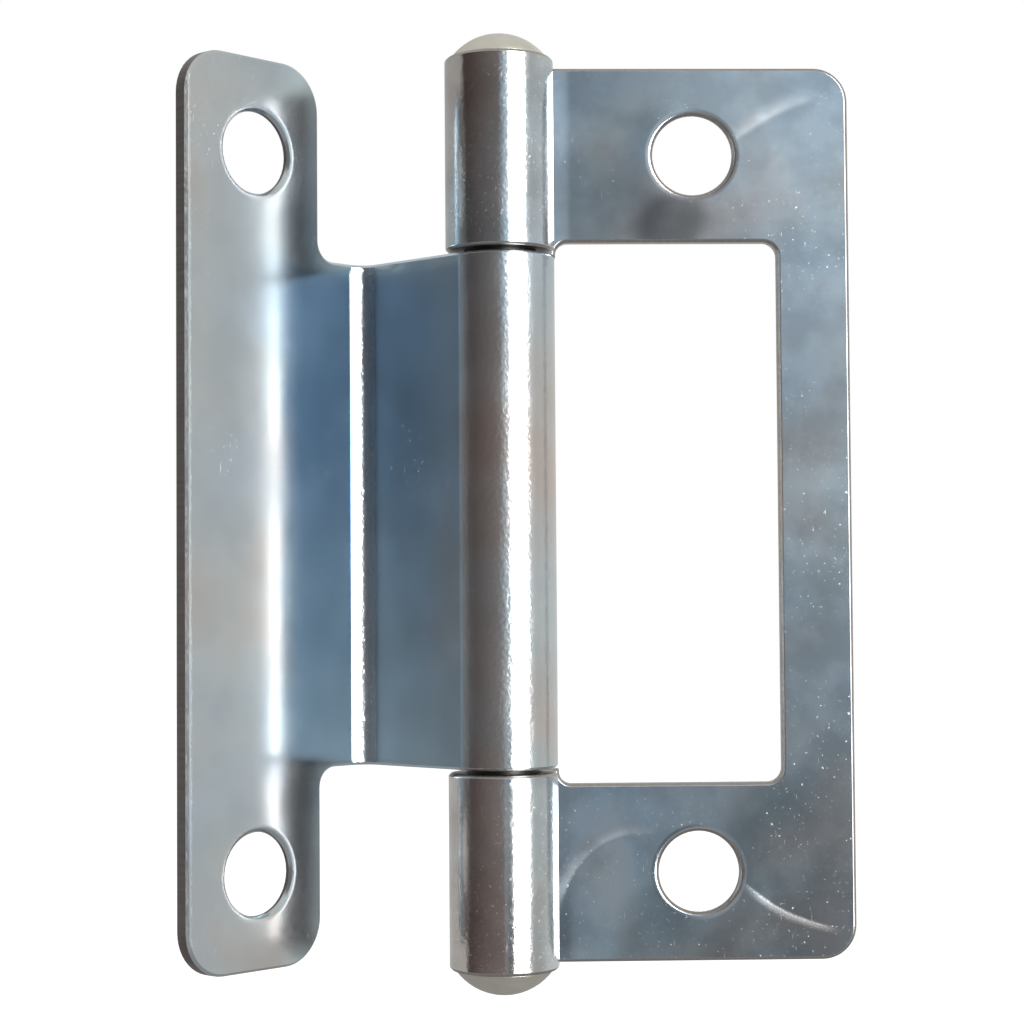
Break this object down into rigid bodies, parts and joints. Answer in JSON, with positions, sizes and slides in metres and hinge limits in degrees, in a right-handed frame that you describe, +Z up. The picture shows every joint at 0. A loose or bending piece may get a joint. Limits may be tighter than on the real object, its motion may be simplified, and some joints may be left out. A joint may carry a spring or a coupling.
{
  "type": "flush hinge",
  "caption": "Cranked flush hinge of zinc-plated sheet steel: a leaf with a right-angle crank and T flange swings on a pin and lies flush in the window of a frame leaf.",
  "frame": {"origin": "midway between the frame leaf's screw holes, on the face that lies against the wood", "axes": "+Z up along the pin, +X from the pin to the frame leaf's free edge, +Y from the frame leaf's wood face to its countersunk face"},
  "size_m": [0.037, 0.0095, 0.0528],
  "materials": {
    "zinc_sheet": "bright zinc plate with a blue cast",
    "zinc_pin": "zinc plate over a peened dome"
  },
  "bodies": {
    "frame_side": {"frame_leaf": "zinc_sheet", "hinge_pin": "zinc_pin"},
    "cranked_side": {"cranked_leaf": "zinc_sheet"}
  },
  "joints": [
    {"name": "leaf_swing", "type": "hinge", "parent": "frame_side", "child": "cranked_side", "pos_m": [-0.01092, -0.002, 0], "axis": [0, 0, 1], "range_deg": [-135, 165]}
  ]
}
